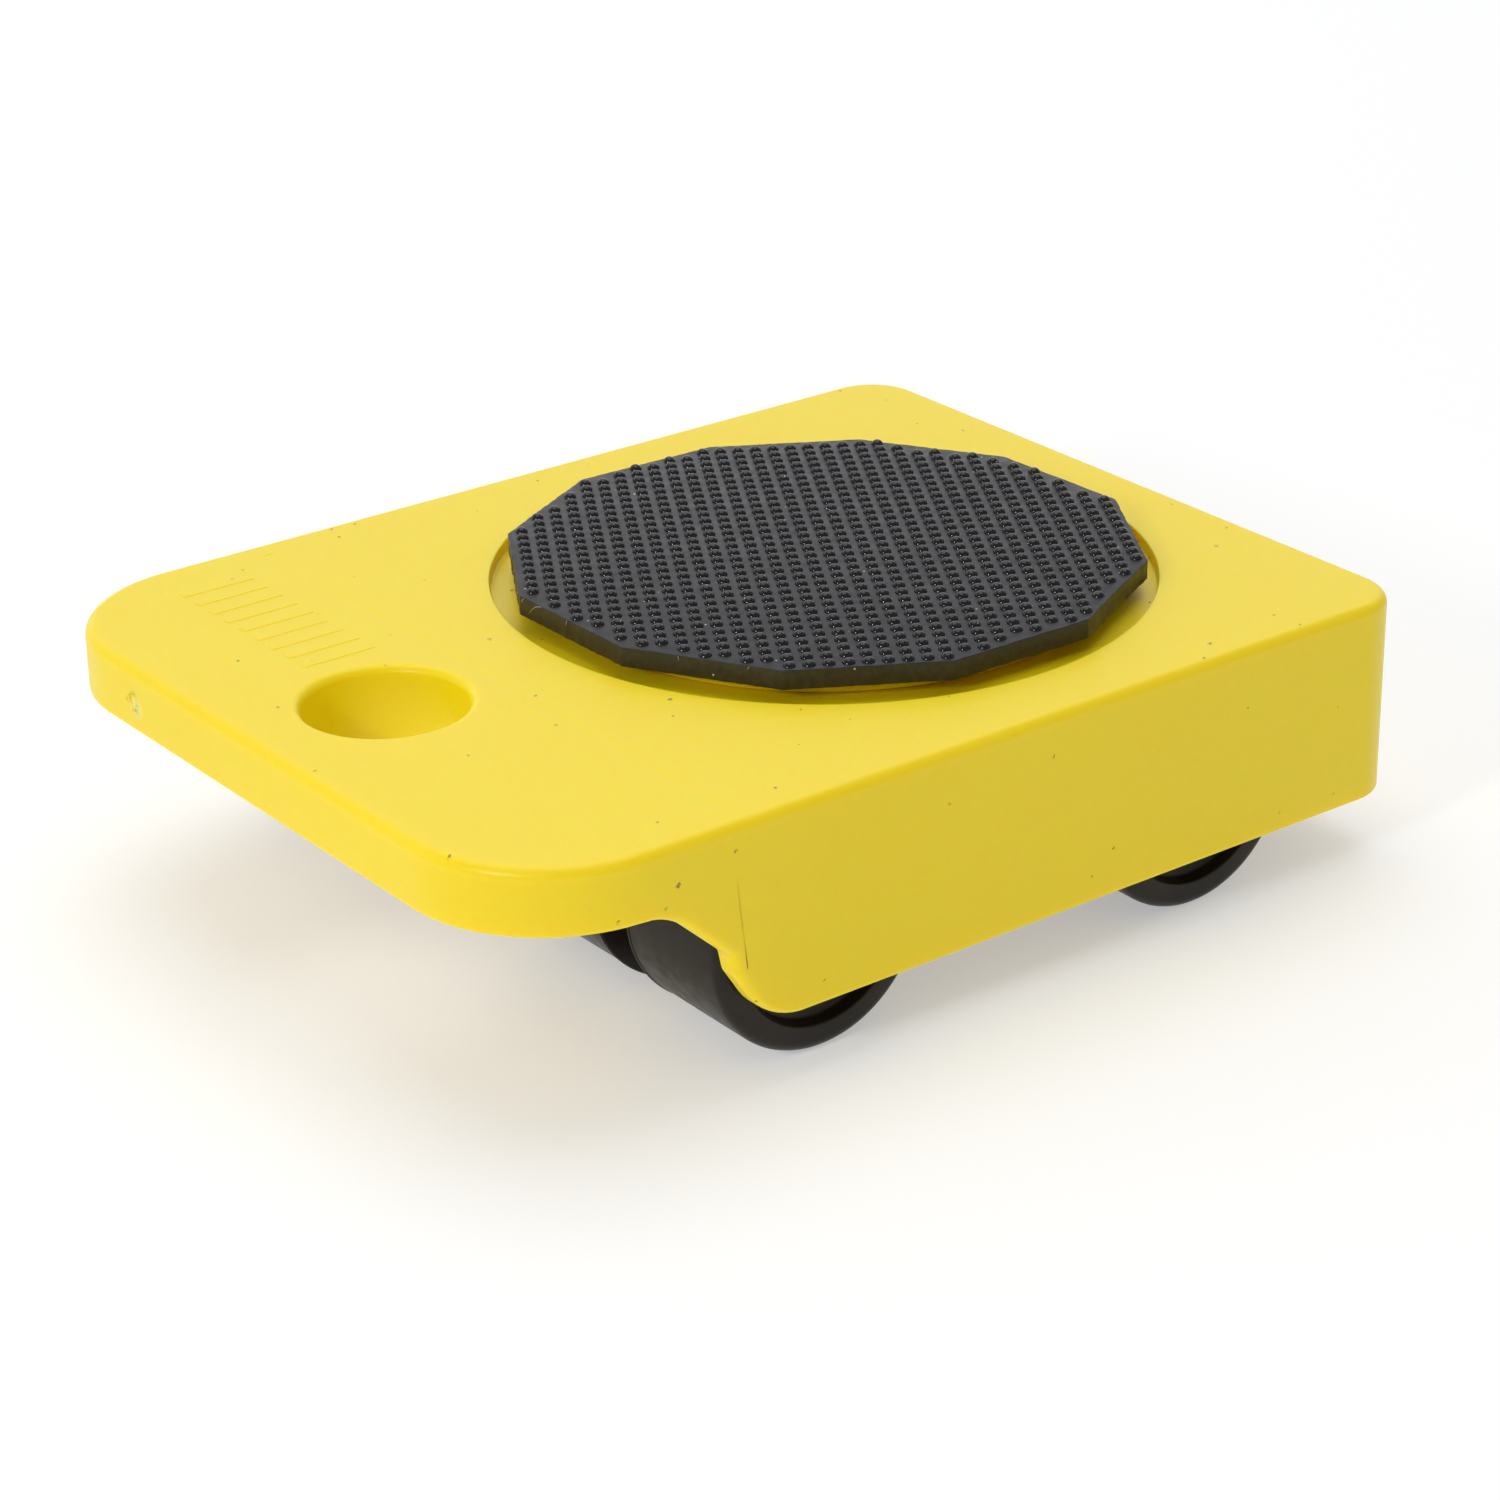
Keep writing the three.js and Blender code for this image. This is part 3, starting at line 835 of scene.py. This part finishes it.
def turntable_disc(material):
    """Disc with a hub below it, drilled from below for the screw."""
    low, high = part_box("turntable")
    radius = (high.x - low.x) / 2
    under = RECESS_FLOOR + SLIDE_GAP
    corners = [
        (0, SCREW_BORE_TOP, 0),
        (SCREW_BORE_R, SCREW_BORE_TOP, 0),
        (SCREW_BORE_R, low.z, 0),
        (HUB_R, low.z, HUB_EDGE),
        (HUB_R, under, HUB_ROOT),
        (radius, under, DISC_LOWER_EDGE),
        (radius, high.z, DISC_UPPER_EDGE),
        (0, high.z, 0),
    ]
    profile = on_axis(rounded(corners, steps=4, closed=False))
    made = turned("turntable_disc", profile, table_centre(), segments=128, material=material)
    return finished(made, "turntable", "yellow_plastic", "turntable")


def pad_sides():
    """The twelve cut sides, anticlockwise, each as its start, its end and its outward way."""
    corners = []
    for i, cut in enumerate(PAD_CUT):
        angle = PAD_FIRST_CORNER - math.tau * i / PAD_SIDES
        corners.append(Vector((math.cos(angle), math.sin(angle))) * (PAD_R + cut * MM))
    corners.reverse()
    sides = []
    for one, other in zip(corners, corners[1:] + corners[:1]):
        side = other - one
        sides.append((one, other, Vector((side.y, -side.x)).normalized()))
    return sides


def pad_outline():
    """The hand-cut edge, with small wobbles of the knife along each side."""
    outline = []
    for one, other, out in pad_sides():
        for k in range(KNIFE_STEPS):
            wobble = 0 if k == 0 else random.uniform(*KNIFE_WOBBLE) * MM
            outline.append(one.lerp(other, k / KNIFE_STEPS) + out * wobble)
    return outline


def stud_places():
    """The middles of the domes, on a slanted lattice clear of the pad's edge."""
    sides = pad_sides()
    along = Vector((math.cos(STUD_ROW_ANGLE), math.sin(STUD_ROW_ANGLE)))
    across = Vector((along.y, -along.x))
    span = int(PAD_R / min(STUD_PITCH)) + 2
    places = []
    for i in range(-span, span + 1):
        for j in range(-span, span + 1):
            place = (along * (i + STUD_PHASE[0]) * STUD_PITCH[0]
                     + across * (j + STUD_PHASE[1]) * STUD_PITCH[1])
            if all((place - one).dot(out) <= -STUD_MARGIN for one, _, out in sides):
                places.append(place)
    return places


def dome(bm, place, radius):
    """A closed dome on the pad's face, the top of a sphere that lies partly under it."""
    middle = PAD_FACE - (STUD_R - STUD_HEIGHT)
    turns = [math.tau * k / STUD_SIDES for k in range(STUD_SIDES)]
    rings = []
    for up in STUD_RINGS:
        height = middle + radius * math.sin(math.radians(up))
        reach = radius * math.cos(math.radians(up))
        rings.append([bm.verts.new((place.x + reach * math.cos(a),
                                    place.y + reach * math.sin(a), height)) for a in turns])
    join_rings(bm, rings)
    tip = bm.verts.new((place.x, place.y, middle + radius))
    last = rings[-1]
    for k in range(STUD_SIDES):
        bm.faces.new((last[k], last[(k + 1) % STUD_SIDES], tip))
    bm.faces.new(rings[0])


def studs(material):
    """All the domes of the pad as one mesh of separate closed shapes."""
    bm = bmesh.new()
    for place in stud_places():
        dome(bm, place, STUD_R * random.uniform(STUD_SMALLEST, 1.0))
    return mesh_object("pad_studs", bm, material, ROUND_ANGLE)


def loose_threads(material):
    """Pale threads that hang out of the cut edge of the pad."""
    sides = pad_sides()
    turns = [math.tau * n / THREAD_SIDES for n in range(THREAD_SIDES)]
    bm = bmesh.new()
    for side, share, length, lean in THREADS:
        one, other, out = sides[side]
        start = (one.lerp(other, share) - out * THREAD_IN_PAD).to_3d()
        start.z = PAD_FACE - THREAD_IN_PAD
        way = (out + (other - one).normalized() * lean).normalized()
        sideways = Vector((-way.y, way.x, 0))
        rings = []
        for k in range(THREAD_STEPS + 1):
            t = k / THREAD_STEPS
            rise = THREAD_LIFT * math.sin(THREAD_BEND * t) - THREAD_DROOP * t * t
            centre = start + Vector((way.x * t, way.y * t, rise)) * length * MM
            radius = THREAD_R * (1 - THREAD_TAPER * t)
            rings.append([bm.verts.new(centre + sideways * radius * math.cos(a)
                                       + Vector((0, 0, radius * math.sin(a)))) for a in turns])
        join_rings(bm, rings)
        bm.faces.new(rings[0])
        bm.faces.new(rings[-1])
    return mesh_object("pad_threads", bm, material, ROUND_ANGLE)


def stud_pad(rubber, dome_rubber, thread):
    """The pad's sheet, domes and threads, each its own piece on the turntable."""
    centre = table_centre()
    sheet = prism("pad_sheet", pad_outline(), PAD_LOW.z, PAD_FACE, along_z, PAD_EDGE)
    sheet.data.materials.append(rubber)
    for piece in (sheet, studs(dome_rubber), loose_threads(thread)):
        piece.data.transform(Matrix.Translation(centre))
        finished(piece, "turntable", "pad_rubber", "grip_pad")


# ---- pivot, axles and wheels ----

def pivot_washer(material):
    """Flat ring with softened edges."""
    low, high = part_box("pivot_washer")
    outer = (high.x - low.x) / 2
    places = [(WASHER_HOLE_R, low.z), (outer, low.z), (outer, high.z), (WASHER_HOLE_R, high.z)]
    profile = rounded([(r, z, WASHER_EDGE) for r, z in places], steps=3)
    made = turned("washer", profile, table_centre(), closed=True, material=material)
    return finished(made, "turntable", "zinc_steel", "pivot_washer")


def pivot_screw(material):
    """Pan-head screw with a cross drive."""
    low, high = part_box("pivot_screw")
    centre = table_centre()
    seat = low.z + HEAD_HEIGHT
    corners = [
        (0, low.z, 0),
        (HEAD_R * HEAD_FACE, low.z, FACE_FILLET),
        (HEAD_R, low.z + HEAD_SIDE, SIDE_FILLET),
        (HEAD_R, seat, SEAT_FILLET),
        (SHANK_R, seat, 0),
        (SHANK_R, high.z - SCREW_POINT, 0),
        (0, high.z, 0),
    ]
    profile = on_axis(rounded(corners, steps=5, closed=False))
    made = turned("screw", profile, centre, segments=64)
    drives = []
    for length, width in ((DRIVE_LENGTH, DRIVE_WIDTH), (DRIVE_WIDTH, DRIVE_LENGTH)):
        x, y = length / 2, width / 2
        outline = [(centre.x - x, -y), (centre.x + x, -y), (centre.x + x, y), (centre.x - x, y)]
        drives.append(prism("drive", outline, low.z - PAST, low.z + DRIVE_DEPTH, along_z))
    combine(made, "DIFFERENCE", drives)
    soften(made, SHARP_ANGLE)
    coated(made, material)
    return finished(made, "turntable", "zinc_steel", "pivot_screw")


def lying(made, centre, facing=1):
    """Turns a shape made about Z so that it lies along Y, with its top towards facing * Y."""
    made.data.transform(Matrix.Rotation(-facing * math.pi / 2, 4, "X"))
    made.location = centre


def axle(name, material):
    """Plain rod with rounded ends."""
    low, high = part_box(name + "_axle")
    half = (high.y - low.y) / 2
    radius = (high.z - low.z) / 2
    corners = [(0, -half, 0), (radius, -half, AXLE_CHAMFER), (radius, half, AXLE_CHAMFER),
               (0, half, 0)]
    profile = on_axis(rounded(corners, steps=3, closed=False))
    made = turned(name + "_axle_rod", profile, segments=48, material=material)
    lying(made, (low + high) / 2)
    return finished(made, "carrier", "axle_steel", name + "_axle")


def wheel_profile(radius, half):
    """Profile of a wheel about Z, with its crisp edge and flash ridge on the low side."""
    rim = radius - WHEEL_RIM
    web = half - WEB_RECESS
    side = [
        (rim, half, WHEEL_FILLET),
        (rim - WEB_DRAFT, web, WEB_FILLET),
        (WHEEL_HUB_R + HUB_DRAFT, web, WEB_FILLET),
        (WHEEL_HUB_R, half, WHEEL_FILLET),
        (WHEEL_BORE_R, half, WHEEL_FILLET),
    ]
    other_side = [(r, -z, fillet) for r, z, fillet in reversed(side)]
    ridge = [
        (radius - FLASH_EDGE, -half),
        (radius, -half + FLASH_START),
        (radius, -half + FLASH_TOP_END),
        (radius - FLASH, -half + FLASH_FOOT),
    ]
    crisp_edge = [(r, z, FLASH_FILLET) for r, z in ridge]
    soft_edge = (radius - FLASH / 2, half, SOFT_EDGE)
    return rounded([*other_side, *crisp_edge, soft_edge, *side], steps=6)


def wheel(name, facing, material):
    """Moulded wheel: recessed webs, a rounded tread edge on one side and a crisp one behind."""
    low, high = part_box(name)
    profile = wheel_profile((high.z - low.z) / 2, (high.y - low.y) / 2)
    made = turned(name + "_moulded", profile, segments=128, closed=True, material=material)
    lying(made, (low + high) / 2, facing)
    return finished(made, name, "black_plastic", name)


# ---- stage ----

def make_floor():
    """A large pale floor, part of the stage and not of the object."""
    bm = bmesh.new()
    bmesh.ops.create_grid(bm, x_segments=4, y_segments=4, size=FLOOR_HALF)
    dark_grey = (0.62, 0.62, 0.62, 1)
    pale_grey = (0.64, 0.64, 0.64, 1)
    material, tree, shader, where = new_material("floor", Roughness=0.9)
    colour = mixed(tree, clouds(tree, where, size=400, detail=1), dark_grey, pale_grey)
    tree.links.new(colour, shader.inputs["Base Color"])
    shader.inputs["Emission Color"].default_value = (1, 1, 1, 1)
    shader.inputs["Emission Strength"].default_value = FLOOR_GLOW
    floor = mesh_object("floor", bm, material)


def area_light(name, azimuth, elevation, distance, size, power):
    """A round soft light aimed at the object, seen from it at that azimuth and elevation."""
    light = bpy.data.lights.new(name, "AREA")
    light.shape = "DISK"
    light.size = size
    light.energy = power
    around, up = math.radians(azimuth), math.radians(elevation)
    way = Vector((math.cos(around) * math.cos(up), math.sin(around) * math.cos(up), math.sin(up)))
    made = bpy.data.objects.new(name, light)
    made.location = way * distance
    made.rotation_euler = way.to_track_quat("Z", "Y").to_euler()
    made.visible_camera = False
    bpy.context.scene.collection.objects.link(made)


def make_lights():
    """A pale room that is soft from all sides, and the lights in it."""
    world = bpy.data.worlds.new("soft white room")
    bpy.context.scene.world = world
    world.use_nodes = True
    background = world.node_tree.nodes["Background"]
    background.inputs["Color"].default_value = ROOM_COLOUR
    background.inputs["Strength"].default_value = ROOM_STRENGTH
    for light in LIGHTS:
        area_light(*light)


def make_camera():
    """Camera at a three-quarter view over the lip's near corner."""
    azimuth, elevation, roll = (math.radians(a) for a in CAMERA_TURN)
    back = Vector((math.sin(azimuth) * math.cos(elevation),
                   -math.cos(azimuth) * math.cos(elevation), math.sin(elevation)))
    data = bpy.data.cameras.new("camera")
    data.lens = CAMERA_LENS
    data.sensor_width = CAMERA_SENSOR
    data.clip_start = CAMERA_CLIP
    camera = bpy.data.objects.new("camera", data)
    camera.location = CAMERA_TARGET + back * CAMERA_DISTANCE
    camera.rotation_mode = "QUATERNION"
    camera.rotation_quaternion = back.to_track_quat("Z", "Y") @ Quaternion((0, 0, 1), roll)
    bpy.context.scene.collection.objects.link(camera)
    bpy.context.scene.camera = camera


def main():
    """Materials, then the pieces of each body, then the stage."""
    bpy.context.scene.view_settings.view_transform = "Standard"
    yellow = yellow_plastic()
    rubber = pad_rubber()
    black = black_plastic()
    axle_steel = steel("axle_steel", (0.60, 0.60, 0.61, 1), roughness=0.28)
    zinc = steel("zinc_steel", (0.66, 0.66, 0.64, 1), roughness=0.34)
    carrier_body(yellow)
    turntable_disc(yellow)
    stud_pad(rubber, stud_rubber(), pale_thread())
    pivot_washer(zinc)
    pivot_screw(zinc)
    for name in AXLES:
        axle(name, axle_steel)
        for place, facing in PLACES.items():
            wheel(f"{name}_{place}_wheel", facing, black)
    make_floor()
    make_lights()
    make_camera()


main()
